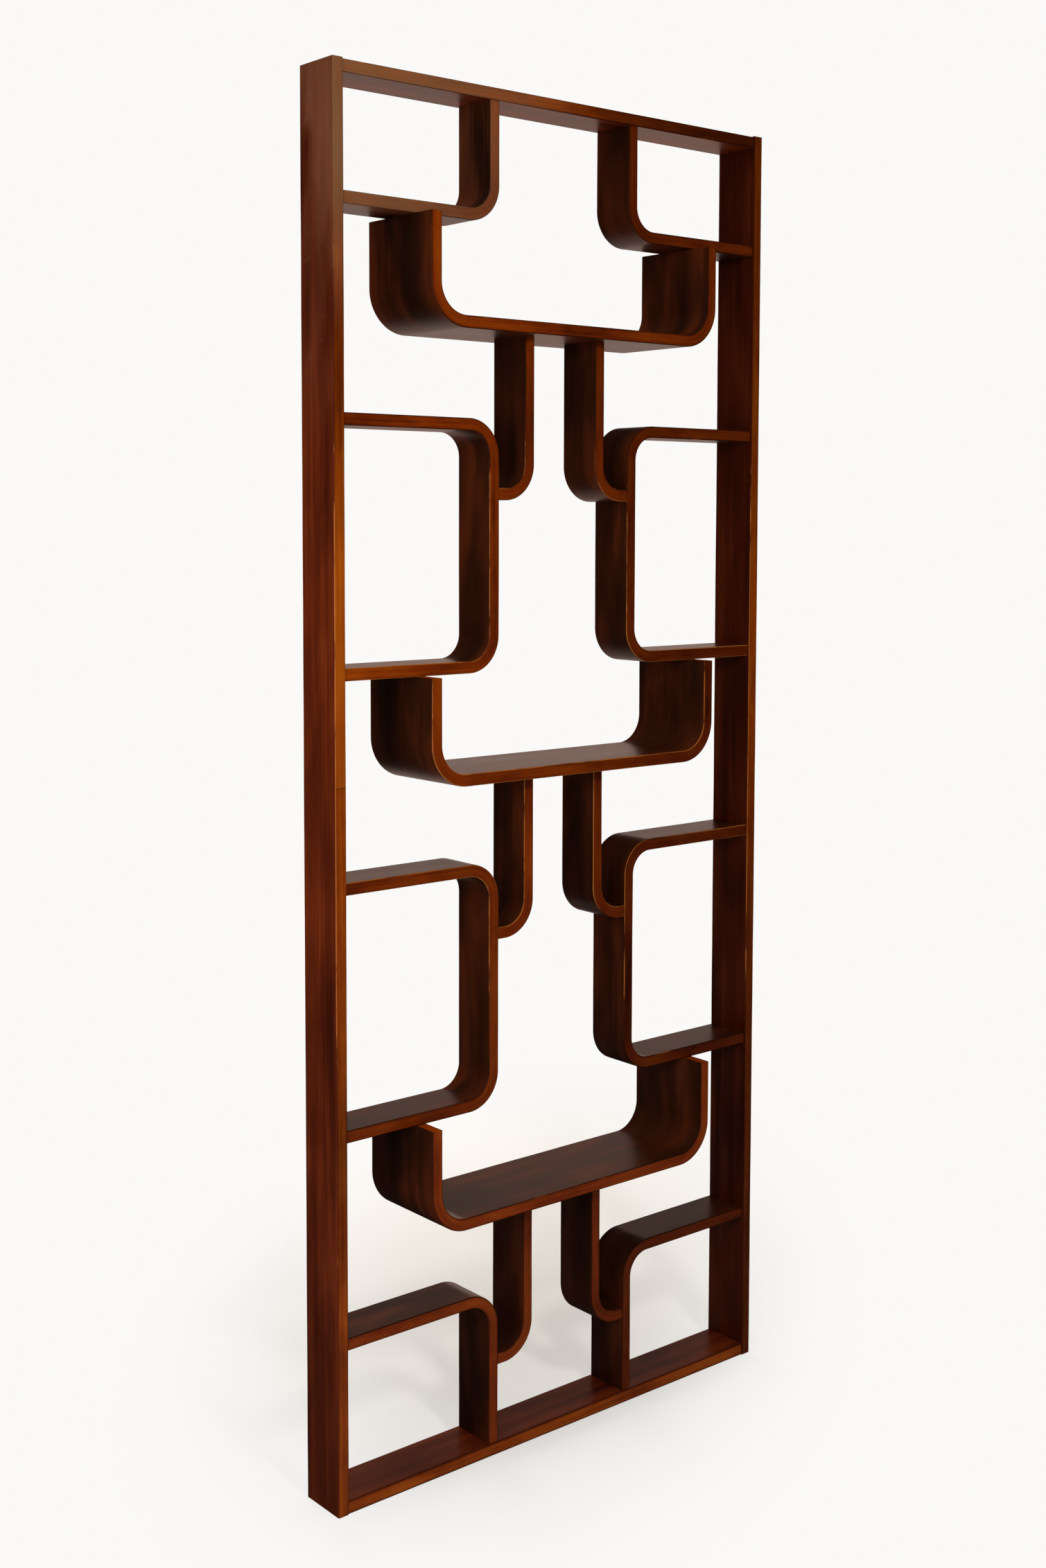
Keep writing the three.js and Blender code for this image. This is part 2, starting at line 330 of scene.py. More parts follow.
def sweep_board(node, route, thickness, depth, inside_radius):
    """A board swept along a route, with rounded arrises, slightly rounded ends and closed caps."""
    name = f"{node}_board"
    lot = random.Random(name).random()
    groove = seam_groove(node)
    stations = stations_along(route, inside_radius + thickness / 2, groove)
    rings = with_rounded_ends(stations)
    places, on_board, edge_shares, grooved, normals = [], [], [], [], []
    for (place, heading, along), shrink in rings:
        left = Vector((-heading.y, heading.x))
        cut = groove_depth(groove, along)
        radius = sanded_radius(along, lot)
        section = rounded_section(thickness - 2 * shrink, depth - 2 * shrink, radius)
        for across, through, n_across, n_through in section:
            sunk = cut if n_across < FACING_FRONT else 0.0
            at = place + left * through
            places.append(Vector((at.x, across + sunk, at.y)))
            on_board.append(Vector((along, across, through)))
            edge_shares.append(edge_share(n_across))
            grooved.append(1.0 if sunk else 0.0)
            normals.append(Vector((left.x * n_through, n_across, left.y * n_through)))
    sides, caps = skin(len(rings), 4 * (ARRIS_STEPS + 1))
    mesh = bpy.data.meshes.new(name)
    mesh.from_pydata(places, [], sides + caps)
    cap_normals = [-in_room(stations[0][1]), in_room(stations[-1][1])]
    finish_shading(mesh, len(sides), normals, cap_normals)
    write_edge_shares(mesh, len(sides), edge_shares)
    flat = mesh.attributes.new("board", "FLOAT_VECTOR", "POINT")
    flat.data.foreach_set("vector", [number for at in on_board for number in at])
    values = {"lot": [lot] * len(places), "seam": grooved}
    values.update(tone_values(node, places, [at.x for at in on_board]))
    for value_name, numbers in values.items():
        mesh.attributes.new(value_name, "FLOAT", "POINT").data.foreach_set("value", numbers)
    board = bpy.data.objects.new(name, mesh)
    bpy.context.scene.collection.objects.link(board)
    return board


def finish_shading(mesh, side_count, normals, cap_normals):
    """Smooth shading with the section's true normals, and flat caps."""
    mesh.shade_smooth()
    corner_normals = []
    for polygon in mesh.polygons:
        cap = polygon.index - side_count
        for vertex in polygon.vertices:
            corner_normals.append(cap_normals[cap] if cap >= 0 else normals[vertex])
    mesh.normals_split_custom_set(corner_normals)


def write_edge_shares(mesh, side_count, edge_shares):
    """How far each corner lies round from a face (0) to an edge or an end (1)."""
    edge = mesh.attributes.new("edge", "FLOAT", "CORNER")
    values = []
    for polygon in mesh.polygons:
        for vertex in polygon.vertices:
            values.append(1.0 if polygon.index >= side_count else edge_shares[vertex])
    edge.data.foreach_set("value", values)


# ---------------------------------------------------------------- shader writing


class Socket:
    """An output of a shader node. Arithmetic on it adds Math nodes."""

    def __init__(self, shader, link):
        self.shader = shader
        self.link = link

    def __add__(self, other):
        return self.shader.math("ADD", self, other)

    __radd__ = __add__

    def __sub__(self, other):
        return self.shader.math("SUBTRACT", self, other)

    def __rsub__(self, other):
        return self.shader.math("SUBTRACT", other, self)

    def __mul__(self, other):
        return self.shader.math("MULTIPLY", self, other)

    __rmul__ = __mul__

    def __truediv__(self, other):
        return self.shader.math("DIVIDE", self, other)

    def __rtruediv__(self, other):
        return self.shader.math("DIVIDE", other, self)

    def __abs__(self):
        return self.shader.math("ABSOLUTE", self)


class Shader:
    """A node tree being written: one method adds any node, and the others name what they add."""

    def __init__(self, tree):
        self.tree = tree
        tree.nodes.clear()

    def node(self, kind, settings=(), sockets=(), output=0):
        """Adds a node, sets its settings first, then its sockets, and returns one output."""
        made = self.tree.nodes.new(kind)
        for key, value in dict(settings).items():
            if key == "stops":
                self.set_stops(made.color_ramp.elements, value)
            else:
                setattr(made, key, value)
        for key, value in dict(sockets).items():
            found = next(s for s in made.inputs if s.enabled and key in (s.identifier, s.name))
            if isinstance(value, Socket):
                self.tree.links.new(value.link, found)
            else:
                found.default_value = value
        outputs = [s for s in made.outputs if s.enabled]
        if not outputs:
            return None
        chosen = outputs[output] if isinstance(output, int) else made.outputs[output]
        return Socket(self, chosen)

    @staticmethod
    def set_stops(elements, stops):
        while len(elements) < len(stops):
            elements.new(1.0)
        for element, (position, colour) in zip(elements, stops):
            element.position = position
            element.color = colour

    def math(self, operation, *values):
        sockets = dict(zip(("Value", "Value_001"), values))
        return self.node("ShaderNodeMath", {"operation": operation}, sockets)

    def step(self, value, low, high):
        """A smooth step from 0 to 1 as value goes from low to high."""
        sockets = {"Value": value, "From Min": low, "From Max": high}
        return self.node("ShaderNodeMapRange", {"interpolation_type": "SMOOTHSTEP"}, sockets)

    def mix(self, factor, first, second, blend="MIX"):
        settings = {"data_type": "RGBA", "blend_type": blend}
        sockets = {"Factor_Float": factor, "A_Color": first, "B_Color": second}
        return self.node("ShaderNodeMix", settings, sockets)

    def attribute(self, name, output="Fac"):
        return self.node("ShaderNodeAttribute", {"attribute_name": name}, output=output)

    def vector(self, operation, first, second):
        sockets = {"Vector": first, "Vector_001": second}
        return self.node("ShaderNodeVectorMath", {"operation": operation}, sockets)

    def noise(self, place, stretch, detail=2.0, roughness=0.5, distortion=0.0):
        """Noise with so many features to a metre along, across and through the board."""
        sockets = {
            "Vector": self.vector("MULTIPLY", place, stretch),
            "Scale": 1.0,
            "Detail": detail,
            "Roughness": roughness,
            "Distortion": distortion,
        }
        return self.node("ShaderNodeTexNoise", {}, sockets)

    def ramp(self, tone, dark, middle, light, spread):
        """The colour of a tone: middle at 0.5, dark a spread under it, light a spread over it."""
        stops = [(0.5 - spread, dark), (0.5, middle), (0.5 + spread, light)]
        return self.node("ShaderNodeValToRGB", {"stops": stops}, {"Fac": tone}, "Color")

    def split(self, vector):
        made = self.node("ShaderNodeSeparateXYZ", {}, {"Vector": vector}).link.node
        return [Socket(self, output) for output in made.outputs]

    def bump(self, height, distance, strength):
        sockets = {"Height": height, "Distance": distance, "Strength": strength}
        return self.node("ShaderNodeBump", {}, sockets)

    def surface(self, sockets):
        """The Principled surface of the material."""
        principled = self.node("ShaderNodeBsdfPrincipled", {}, sockets)
        self.node("ShaderNodeOutputMaterial", {}, {"Surface": principled})


def colour(red, green, blue):
    """A colour given as on a screen, 0 to 255, as Blender's linear numbers."""
    linear = []
    for value in (red, green, blue):
        share = value / 255
        linear.append(share / 12.92 if share <= 0.04045 else ((share + 0.055) / 1.055) ** 2.4)
    return (*linear, 1.0)


def new_material(name):
    material = bpy.data.materials.new(name)
    material.use_nodes = True
    return material, Shader(material.node_tree)


# ---------------------------------------------------------------- finishes

# Tones as dark, middle and light
FRAME_FACE = (colour(50, 13, 4), colour(76, 25, 7), colour(102, 39, 12))
FRAME_EDGE = (colour(84, 30, 2), colour(127, 51, 3), colour(156, 74, 7))
BENT_FACE = (colour(31, 12, 4), colour(49, 19, 7), colour(78, 31, 10))
BENT_EDGE = (colour(68, 20, 1), colour(113, 40, 2), colour(142, 60, 4))
TRAY_FACE = (colour(30, 12, 4), colour(47, 18, 6), colour(79, 31, 10))
FACE_SPREAD = 0.13  # how far the noise goes from its middle to dark or light
EDGE_SPREAD = 0.17

# Boards darker than the rest, from darker veneer and painted shade, each with one share or
# (distance along the board, share) pairs
DARK_CUT_AND_SHADE = (0.25, 0.22, 0.2, 1.0)  # darker veneer and stain, and painted shade, multiplied in
DARK_CUTS_AND_SHADE = {  # on the faces: painted shade towards the right on the right stile and the bottom rail
    "stile_right": 0.58,
    "rail_bottom": ((0, 0), (0.45, 0.05), (0.94, 0.45)),
    "bracket_lower_left": 0.2,
    "bracket_lower_right": 0.3,
    "angle_bottom_right": 0.3,
    "angle_top_right": 0.2,
    "hook_lower_right": 0.05,
    "hook_middle_right": 0.1,
    "hook_upper_left": 0.1,
}
# On the edges: painted shade where the light falls off towards the right, on the right-hand pieces,
# the top rail and the trays; the left stile's edge is darker in bands along its height
DARK_EDGES = {
    "stile_left": (
        (0, 0), (0.3, 0.05), (0.45, 0.35), (0.6, 0.75), (0.72, 0.35), (1.1, 0.22),
        (1.55, 0.2), (1.68, 0.5), (1.9, 0.5), (2.1, 0.2), (2.3, 0.2),
    ),
    "stile_right": (
        (0, 0.82), (0.7, 0.8), (0.9, 0.68), (1.1, 0.35), (1.25, 0.02), (1.4, 0.02),
        (1.55, 0.5), (2.3, 0.75),
    ),
    "rail_top": (
        (0, 0.25), (0.12, 0), (0.3, 0.1), (0.45, 0.35), (0.55, 0.65), (0.65, 0.97), (0.95, 1),
    ),
    "tray_middle": ((0, 0.2), (0.25, 0.3), (0.5, 0.55), (0.95, 0.65)),
    "tray_upper": ((0, 0.2), (0.3, 0.25), (0.95, 0.45)),
    "bracket_lower_left": 0.35,
    "bracket_lower_right": 0.75,
    "bracket_middle_left": 0.1,
    "bracket_middle_right": 0.7,
    "angle_bottom_left": 0.1,
    "angle_bottom_right": 0.62,
    "angle_top_right": 0.6,
    "hook_middle_right": 0.42,
    "hook_upper_right": 0.45,
    "hook_lower_left": 0.2,
    "hook_upper_left": 0.33,
}
PAINTED_SHEEN_EDGE = colour(108, 78, 52)  # painted sheen: a grey haze of reflected light on the edges near the top left
# the same painted sheen on the faces
PAINTED_SHEEN_FACE = colour(112, 62, 38)
PAINTED_SHEEN_FACES = {  # the boards with the painted sheen, and how far it reaches their faces
    "stile_left": 0.3,
    "rail_top": 0.15,
    "angle_top_left": 0.55,
}
PAINTED_SHEEN_EDGE_SHARE = 0.6
PAINTED_SHEEN_UNEVENNESS = 0.28
UNEVEN_CLOUDS = 0.6  # the rest of the unevenness follows the streaks of the edge
UNEVEN_BETWEEN = (0.36, 0.6)
PALE_LIPPING = colour(172, 88, 16)  # the left stile's lipping above the seam
PALE_LIPPING_SHARE = 0.3
SEAM_DIRT = colour(25, 10, 4)
SEAM_DIRT_SHARE = 0.85

# Grain, as features to a metre along, across and through a board
LOTS_APART = (37.0, 11.0, 5.0)  # metres of the pattern between lots 0 and 1
RIBBON_GRAIN = (1.5, 62, 62)
FIBRE_GRAIN = (7, 520, 520)
FACE_CLOUD_GRAIN = (4.5, 15, 15)
PORE_GRAIN = (60, 1500, 1500)
EDGE_CLOUD_GRAIN = (5, 14, 14)
EDGE_PATCH_GRAIN = (34, 60, 90)
EDGE_STREAK_GRAIN = (5, 330, 420)
RUB_GRAIN = (14, 40, 40)
CHIP_GRAIN = (150, 260, 260)
SCUFF_GRAIN = (90, 26, 26)

# Veneer on the faces: its clouds have the share that ribbons and fibres leave
FRAME_RIBBON_SHARE = 0.38
BENT_RIBBON_SHARE = 0.2
FIBRE_SHARE = 0.18
PORE_BETWEEN = (0.62, 0.74)
PORE_STAIN = 0.4

# Wood on the edges
EDGE_CLOUD_SHARE = 0.5
EDGE_PATCH_SHARE = 0.16
EDGE_STREAK_SHARE = 0.34
MARGIN_BETWEEN = (0.6, 1.0)  # from the core to the darker margins, in half thicknesses
MARGIN_WANDER = 0.3
MARGIN_STAIN = 0.3
PLY = 0.0014  # thickness of one ply
PLIES_BELOW = 20.0  # whole plies added, so that the count of plies stays over 0
GLUE_BETWEEN = (0.38, 0.48)  # from the middle of a ply, in plies
GLUE_STAIN = 0.22
VENEER = 0.0011  # face veneer and its glue, seen as a dark line on the edges
VENEER_SOFTNESS = 1.8  # the line fades in from this many veneers under the face
VENEER_STAIN = 0.85
# the veneer line is paler at mid height, under the painted arris highlight
VENEER_STAIN_OFF_WORN_AND_HIGHLIT = 0.45
EDGE_BETWEEN = (0.4, 0.6)  # where the face's wood turns into the edge's, round the arris

# Wear, with a painted highlight along the arrises at mid height
# rubbed pale wood, and a painted highlight, along the arrises
RUBBED_AND_HIGHLIGHT = colour(166, 95, 36)
RUBBED_AND_HIGHLIGHT_SHARE = 0.65
RUBBED_AND_HIGHLIGHT_ARRIS = (0.1, 0.6)  # from the flats to the middle of the arris
RUBBED_AND_HIGHLIGHT_OVER = 0.62  # of the noise
RUBBED_AND_HIGHLIGHT_OVER_MID_HEIGHT = 0.3  # how much lower that lies at mid height, for the painted highlight
RUBBED_AND_HIGHLIGHT_SOFTNESS = 0.2
CHIPPED = colour(184, 138, 92)
CHIPPED_SHARE = 0.55
CHIPPED_ARRIS = (0.05, 0.4)
CHIPPED_OVER = 0.79  # of the noise
CHIPPED_OVER_SHEEN = 0.05  # how much lower that lies under the painted sheen
CHIPPED_SOFTNESS = 0.04
# pale scuffs, and a painted haze of sheen in the same colour
SCUFF_AND_SHEEN = colour(140, 104, 78)
SCUFF_AND_SHEEN_FACE = (0.3, 0.5)  # scuffs and painted haze end between these, round the arris
# the painted haze: a sheen of reflected light painted on the left stile's face near its top
PAINTED_HAZE_BETWEEN = (0.35, 0.7)
PAINTED_HAZE_SHARE = 0.22
SCUFF_BETWEEN = (0.62, 0.76)
SCUFF_SHARE = 0.3

# Lacquer
SATIN_LEVEL = 0.165  # thin satin lacquer reflects little when looked at squarely
SATIN_ROUGHNESS = 0.3
CLOUD_ROUGHNESS = 0.09
WEAR_ROUGHNESS = 0.15
PORE_ROUGHNESS = 0.08
FIBRE_HEIGHT = 0.3
STREAK_HEIGHT = 0.15
PORE_HEIGHT = 0.8
RUB_HEIGHT = 0.4
RELIEF = 0.0001
RELIEF_STRENGTH = 0.45

# Unfinished beech, with its grain along the room's directions
BEECH = (colour(186, 142, 98), colour(204, 163, 118), colour(222, 184, 138))
BEECH_SPREAD = 0.17
BEECH_GRAIN = (60, 400, 60)
BEECH_FLECK_GRAIN = (900, 900, 220)
BEECH_FLECK = colour(150, 104, 66)
BEECH_FLECK_SHARE = 0.5
BEECH_FLECK_BETWEEN = (0.6, 0.7)
BEECH_ROUGHNESS = 0.7
BEECH_FLECK_SMOOTHNESS = 0.1
BEECH_RELIEF = 0.0002
BEECH_RELIEF_STRENGTH = 0.4


def board_place(shader):
    """The place on the flat board, moved to a part of the pattern that is the piece's own."""
    lot = shader.attribute("lot")
    apart = {axis: lot * distance for axis, distance in zip("XYZ", LOTS_APART)}
    moved = shader.node("ShaderNodeCombineXYZ", {}, apart)
    return shader.vector("ADD", shader.attribute("board", "Vector"), moved)


def face_veneer(shader, place, tones, ribbon_share):
    """Straight-grained veneer: soft ribbon stripes, fine fibres and short open pores."""
    ribbon = shader.noise(place, RIBBON_GRAIN, detail=3.0, roughness=0.6, distortion=0.08)
    fibre = shader.noise(place, FIBRE_GRAIN)
    cloud = shader.noise(place, FACE_CLOUD_GRAIN, distortion=0.3)
    pore = shader.noise(place, PORE_GRAIN, detail=1.0)
    cloud_share = 1.0 - FIBRE_SHARE - ribbon_share
    stripes = ribbon * ribbon_share + fibre * FIBRE_SHARE + cloud * cloud_share
    base = shader.ramp(stripes, *tones, FACE_SPREAD)
    pores = shader.step(pore, *PORE_BETWEEN)
    return shader.mix(pores * PORE_STAIN, base, tones[0], "MULTIPLY"), pores, fibre, cloud


def edge_wood(shader, place, through, tones, plies):
    """The stained edge: a lighter core between darker margins, cloudy, with streaks along it."""
    cloud = shader.noise(place, EDGE_CLOUD_GRAIN, distortion=0.5)
    patch = shader.noise(place, EDGE_PATCH_GRAIN)
    streak = shader.noise(place, EDGE_STREAK_GRAIN)
    tone = cloud * EDGE_CLOUD_SHARE + patch * EDGE_PATCH_SHARE + streak * EDGE_STREAK_SHARE
    base = shader.ramp(tone, *tones, EDGE_SPREAD)
    wander = (cloud - 0.5) * MARGIN_WANDER
    margin = shader.step(abs(through) * (2 / STOCK) + wander, *MARGIN_BETWEEN)
    shaded = shader.mix(margin * MARGIN_STAIN, base, tones[0])
    if plies:
        layer = shader.math("FRACT", through / PLY + PLIES_BELOW)
        glue = shader.step(abs(layer - 0.5), *GLUE_BETWEEN)
        shaded = shader.mix(glue * GLUE_STAIN, shaded, tones[0], "MULTIPLY")
    return shaded, streak


def stained_edge(shader, through, side, face_tones):
    """The edge with the left stile's paler lipping, and dark lines where the face veneers end,
    fainter under the painted arris highlight at mid height.
    """
    pale = shader.mix(shader.attribute("pale_lipping") * PALE_LIPPING_SHARE, side, PALE_LIPPING)
    soft, sharp = STOCK / 2 - VENEER * VENEER_SOFTNESS, STOCK / 2 - VENEER
    line = shader.step(abs(through), soft, sharp)
    stain = VENEER_STAIN - shader.attribute("hand_height") * VENEER_STAIN_OFF_WORN_AND_HIGHLIT
    return shader.mix(line * stain, pale, face_tones[0])


def painted_sheen_wood(shader, on_edge, cloud, streak, wood):
    """A painted sheen: grey haze of reflected light over the edges and the faces of a few boards
    near the top left.
    """
    patches = cloud * UNEVEN_CLOUDS + streak * (1 - UNEVEN_CLOUDS)
    uneven = shader.step(patches, *UNEVEN_BETWEEN)
    share = PAINTED_SHEEN_EDGE_SHARE + uneven * PAINTED_SHEEN_UNEVENNESS
    wood = shader.mix(shader.attribute("faded") * on_edge * share, wood, PAINTED_SHEEN_EDGE)
    on_face = shader.attribute("faded_face") * (1.0 - on_edge)
    return shader.mix(on_face * uneven, wood, PAINTED_SHEEN_FACE)


def rubbed_and_highlit_arrises(shader, place, edge, wood):
    """Lacquer and stain rubbed thin along the arrises, with a painted highlight there at mid
    height, and a few small chips.
    """
    arris = 1.0 - abs(edge * 2.0 - 1.0)
    rub = shader.noise(place, RUB_GRAIN, detail=4.0, roughness=0.65)
    bare = RUBBED_AND_HIGHLIGHT_OVER - shader.attribute("hand_height") * RUBBED_AND_HIGHLIGHT_OVER_MID_HEIGHT
    rubbed_and_highlit = shader.step(rub, bare, bare + RUBBED_AND_HIGHLIGHT_SOFTNESS)
    wear_and_highlight = shader.step(arris, *RUBBED_AND_HIGHLIGHT_ARRIS) * rubbed_and_highlit
    worn_and_highlit = shader.mix(wear_and_highlight * RUBBED_AND_HIGHLIGHT_SHARE, wood, RUBBED_AND_HIGHLIGHT)
    speck = shader.noise(place, CHIP_GRAIN)
    chipped = CHIPPED_OVER - shader.attribute("faded") * CHIPPED_OVER_SHEEN
    chips = shader.step(speck, chipped, chipped + CHIPPED_SOFTNESS)
    chips = chips * shader.step(arris, *CHIPPED_ARRIS)
    return shader.mix(chips * CHIPPED_SHARE, worn_and_highlit, CHIPPED), wear_and_highlight, rub


def scuffs_and_painted_haze(shader, place, edge, cloud, wood):
    """A faint painted haze of sheen, and pale marks across the grain where hands and things have
    brushed a face.
    """
    where = shader.attribute("scuffed") * (1.0 - shader.step(edge, *SCUFF_AND_SHEEN_FACE))
    haze = shader.step(cloud, *PAINTED_HAZE_BETWEEN) * where
    hazed = shader.mix(haze * PAINTED_HAZE_SHARE, wood, SCUFF_AND_SHEEN)
    mark = shader.noise(place, SCUFF_GRAIN, detail=3.0, roughness=0.7, distortion=1.2)
    marks = shader.step(mark, *SCUFF_BETWEEN) * where
    return shader.mix(marks * SCUFF_SHARE, hazed, SCUFF_AND_SHEEN)


def lacquered_board(name, face_tones, edge_tones, plies=True, ribbon_share=BENT_RIBBON_SHARE):
    """Stained veneer and edges under thin satin lacquer."""
    material, shader = new_material(name)
    place = board_place(shader)
    through = shader.split(shader.attribute("board", "Vector"))[2]
    edge = shader.attribute("edge")
    face, pores, fibre, cloud = face_veneer(shader, place, face_tones, ribbon_share)
    side, streak = edge_wood(shader, place, through, edge_tones, plies)
    side = stained_edge(shader, through, side, face_tones)
    on_edge = shader.step(edge, *EDGE_BETWEEN)
    wood = shader.mix(on_edge, face, side)
    # darker veneer and painted shade, multiplied in
    dark_face = shader.attribute("dark_cut") * (1.0 - on_edge)
    dark = dark_face + shader.attribute("dark_edge") * on_edge
    wood = shader.mix(dark, wood, DARK_CUT_AND_SHADE, "MULTIPLY")
    wood = painted_sheen_wood(shader, on_edge, cloud, streak, wood)
    wood = scuffs_and_painted_haze(shader, place, edge, cloud, wood)
    wood, wear_and_highlight, rub = rubbed_and_highlit_arrises(shader, place, edge, wood)
    wood = shader.mix(shader.attribute("seam") * SEAM_DIRT_SHARE, wood, SEAM_DIRT)
    fine = fibre * FIBRE_HEIGHT + streak * STREAK_HEIGHT
    height = fine - pores * PORE_HEIGHT + rub * RUB_HEIGHT
    roughness = SATIN_ROUGHNESS + cloud * CLOUD_ROUGHNESS
    shader.surface({
        "Base Color": wood,
        "Roughness": roughness + wear_and_highlight * WEAR_ROUGHNESS + pores * PORE_ROUGHNESS,
        "Normal": shader.bump(height, RELIEF, RELIEF_STRENGTH),
        "Specular IOR Level": SATIN_LEVEL,
    })
    return material


def bare_beech(name):
    """Unfinished beech: pale, with short darker flecks."""
    material, shader = new_material(name)
    place = shader.node("ShaderNodeTexCoord", output="Object")
    tone = shader.noise(place, BEECH_GRAIN, detail=3.0)
    fleck = shader.noise(place, BEECH_FLECK_GRAIN, detail=1.0)
    base = shader.ramp(tone, *BEECH, BEECH_SPREAD)
    flecks = shader.step(fleck, *BEECH_FLECK_BETWEEN)
    shader.surface({
        "Base Color": shader.mix(flecks * BEECH_FLECK_SHARE, base, BEECH_FLECK),
        "Roughness": BEECH_ROUGHNESS - flecks * BEECH_FLECK_SMOOTHNESS,
        "Normal": shader.bump(tone, BEECH_RELIEF, BEECH_RELIEF_STRENGTH),
    })
    return material


# ---------------------------------------------------------------- the divider


def build_boards():
    """One swept board for each visible piece of the frame, on its box and in its finish."""
    frame_finish = lacquered_board(
        "satin_frame_veneer", FRAME_FACE, FRAME_EDGE, plies=False, ribbon_share=FRAME_RIBBON_SHARE
    )
    bent_finish = lacquered_board("satin_bent_veneer", BENT_FACE, BENT_EDGE)
    tray_finish = lacquered_board("satin_tray_veneer", TRAY_FACE, BENT_EDGE)
    kinds = {
        "stile": (stile_route, 0.0, frame_finish, "frame_veneer"),
        "rail": (rail_route, 0.0, frame_finish, "frame_veneer"),
        "tray": (tray_route, TRAY_BEND_RADIUS, tray_finish, "tray_veneer"),
        "hook": (hook_route, BEND_RADIUS, bent_finish, "bent_veneer"),
        "bracket": (bracket_route, BEND_RADIUS, bent_finish, "bent_veneer"),
        "angle_bottom": (bottom_angle_route, BEND_RADIUS, bent_finish, "bent_veneer"),
        "angle_top": (hook_route, BEND_RADIUS, bent_finish, "bent_veneer"),
    }
    for node in sorted(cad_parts):
        kind = next((kind for kind in kinds if node.startswith(kind)), None)
        if kind is None:
            continue
        route, inside_radius, finish, slot = kinds[kind]
        low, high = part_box(node)
        thickness = {"stile": high.x - low.x, "rail": high.z - low.z}.get(kind, STOCK)
        board = sweep_board(node, route(low, high), thickness, high.y - low.y, inside_radius)
        board.data.materials.append(finish)
        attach(board, "root")
        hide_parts(node)


def finish_tenons():
    """The tenons, which the joints hide, stay as they are in the frame and get plain beech."""
    beech = bare_beech("bare_beech")
    for name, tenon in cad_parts.items():
        if name.startswith("tenon"):
            for slot in tenon.material_slots:
                slot.link = "OBJECT"
                slot.material = beech


# ---------------------------------------------------------------- floor, light and camera


def light_path(shader, kind):
    return shader.node("ShaderNodeLightPath", output=f"Is {kind} Ray")


def seen_directly(shader):
    """1 for the camera's own rays and for rays through glass."""
    return shader.math("MAXIMUM", light_path(shader, "Camera"), light_path(shader, "Transmission"))


def bright_side(shader, direction, spread=BRIGHT_SIDE_SPREAD):
    """1 where a unit direction points to the bright side of the room, and 0 well away from it."""
    east, north, up = shader.split(direction)
    towards = east * BRIGHT_SIDE[0] + north * BRIGHT_SIDE[1]
    low = 1.0 - shader.step(up, *BRIGHT_SIDE_HEIGHT)
    return shader.step(towards, *spread) * low


def lay_floor():
    """A pale floor that keeps the divider's shadow and runs out into the white background."""
    bpy.ops.mesh.primitive_plane_add(size=FLOOR_SIZE)
    floor = bpy.context.object
    floor.name = "floor"
    material, shader = new_material("pale_floor")
    place = shader.node("ShaderNodeTexCoord", output="Object")
    sockets = {
        "Vector": place,
        "Location": (*SHADOW_POOL, 0.0),
        "Rotation": (0.0, 0.0, SHADOW_POOL_TURN),
        "Scale": (*SHADOW_POOL_REACH, 1.0),
    }
    in_pool = shader.node("ShaderNodeMapping", {"vector_type": "TEXTURE"}, sockets)
    distance = shader.node(
        "ShaderNodeVectorMath", {"operation": "LENGTH"}, {"Vector": in_pool}, "Value"
    )
    outward = shader.node("ShaderNodeVectorMath", {"operation": "NORMALIZE"}, {"Vector": place})
    lit_side = bright_side(shader, outward, BRIGHT_FLOOR_SPREAD)
    lit_patch = lit_side * shader.step(distance, *LIT_FLOOR_FROM)
    glossy_ray = light_path(shader, "Glossy")
    reflected = shader.mix(lit_patch, DIM_FLOOR, BRIGHT_FLOOR)
    shown = shader.mix(glossy_ray, BACKGROUND, reflected)
    share = seen_directly(shader) * shader.step(distance, *SHADOW_POOL_EDGE) + glossy_ray
    lit = shader.node("ShaderNodeBsdfDiffuse", {}, {"Color": FLOOR_COLOUR})
    bright = shader.node("ShaderNodeEmission", {}, {"Color": shown})
    layers = {"Fac": share, "Shader": lit, "Shader_001": bright}
    mixed = shader.node("ShaderNodeMixShader", {}, layers)
    shader.node("ShaderNodeOutputMaterial", {}, {"Surface": mixed})
    floor.data.materials.append(material)


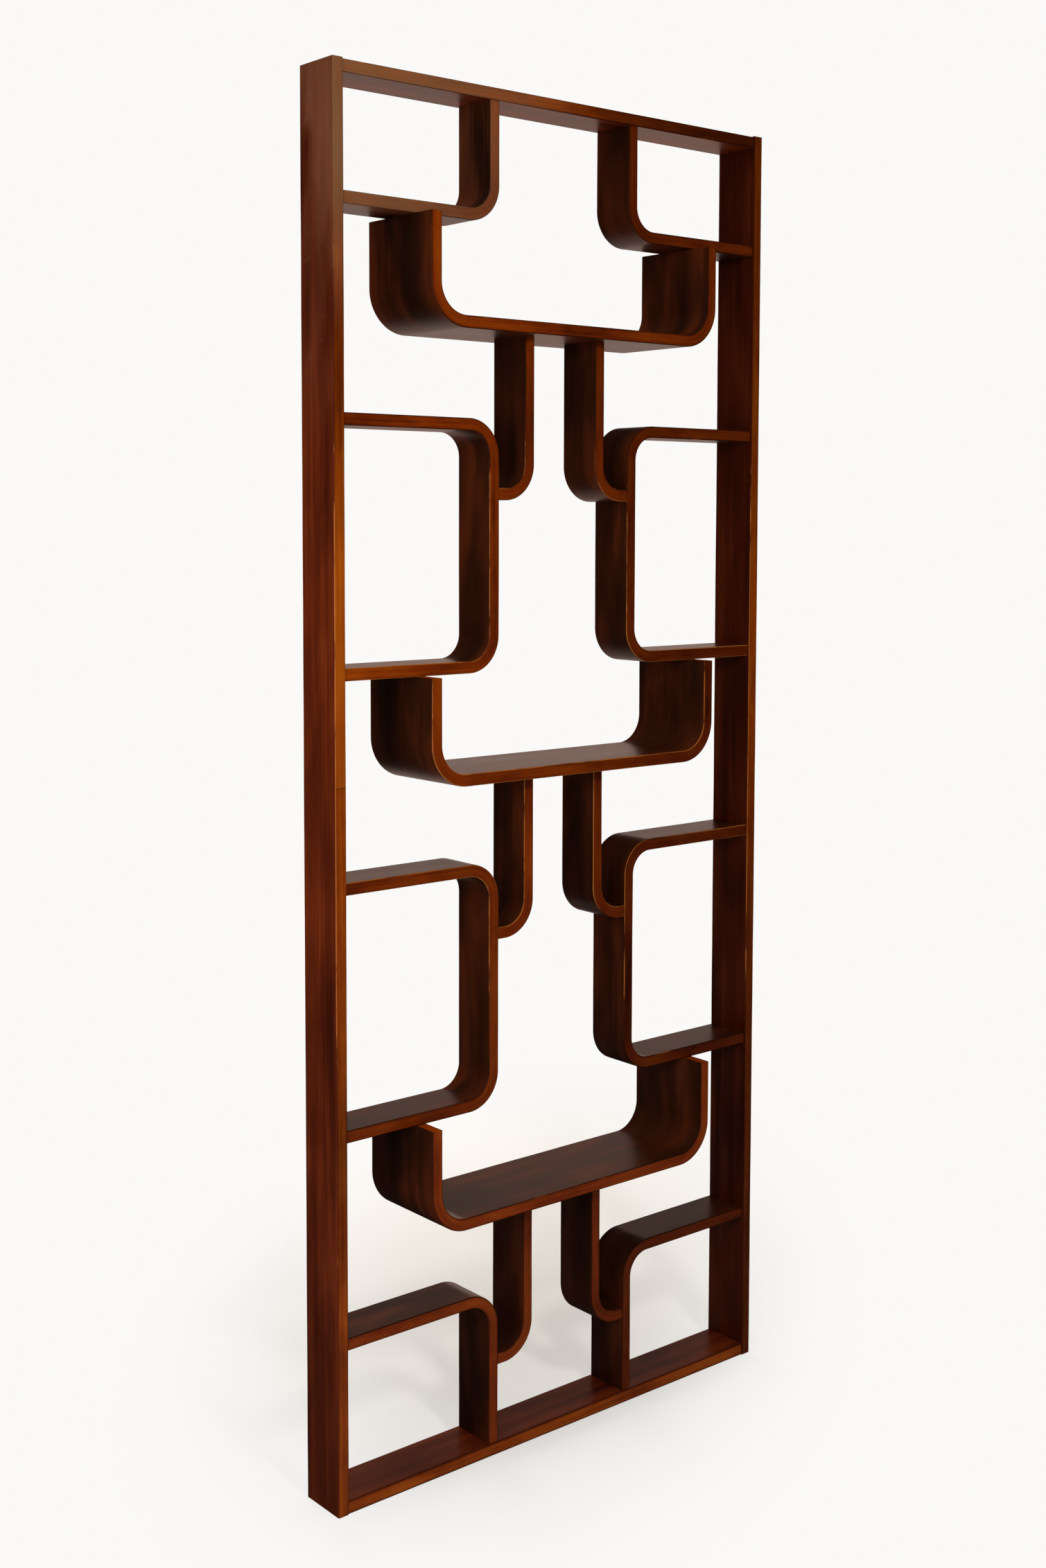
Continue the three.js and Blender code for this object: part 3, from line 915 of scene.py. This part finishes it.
def light_world():
    """A white background, a faint even light, and for the sheen a dim room, bright on one side."""
    world = bpy.data.worlds.new("studio")
    bpy.context.scene.world = world
    world.use_nodes = True
    shader = Shader(world.node_tree)
    direction = shader.node("ShaderNodeTexCoord", output="Generated")
    sheen = shader.mix(bright_side(shader, direction), DIM_WALL, BRIGHT_WALL)
    felt = shader.mix(light_path(shader, "Glossy"), FILL, sheen)
    shown = shader.mix(seen_directly(shader), felt, BACKGROUND)
    room = shader.node("ShaderNodeBackground", {}, {"Color": shown})
    shader.node("ShaderNodeOutputWorld", {}, {"Surface": room})


def add_softbox(name, place, aim, width, height, power):
    """A lamp that the camera and the lacquer's sheen don't see."""
    light = bpy.data.lights.new(name, "AREA")
    light.shape = "RECTANGLE"
    light.size, light.size_y = width, height
    light.energy = power
    softbox = bpy.data.objects.new(name, light)
    softbox.location = place
    softbox.visible_camera = False
    softbox.visible_glossy = False
    direction = Vector(aim) - Vector(place)
    softbox.rotation_euler = direction.to_track_quat("-Z", "Y").to_euler()
    bpy.context.scene.collection.objects.link(softbox)


def place_camera():
    """The photograph's view: its fitted place, directions, focal length and centre."""
    data = bpy.data.cameras.new("camera")
    data.sensor_width = SENSOR
    data.lens = PHOTO_FOCAL * SENSOR / max(PHOTO_SIZE)
    data.shift_x = (PHOTO_SIZE[0] / 2 - PHOTO_CENTRE[0]) / max(PHOTO_SIZE)
    data.shift_y = (PHOTO_CENTRE[1] - PHOTO_SIZE[1] / 2) / max(PHOTO_SIZE)
    camera = bpy.data.objects.new("camera", data)
    turn = Matrix.Rotation(CAMERA_YAW, 4, "Z")
    tilt = Matrix.Rotation(math.pi / 2 + CAMERA_PITCH, 4, "X")
    roll = Matrix.Rotation(CAMERA_ROLL, 4, "Z")
    camera.matrix_world = Matrix.Translation(CAMERA_PLACE) @ turn @ tilt @ roll
    bpy.context.scene.collection.objects.link(camera)
    bpy.context.scene.camera = camera


place_camera()
build_boards()
finish_tenons()
lay_floor()
light_world()
for name, settings in SOFTBOXES.items():
    add_softbox(name, *settings)
bpy.context.scene.view_settings.view_transform = "Standard"
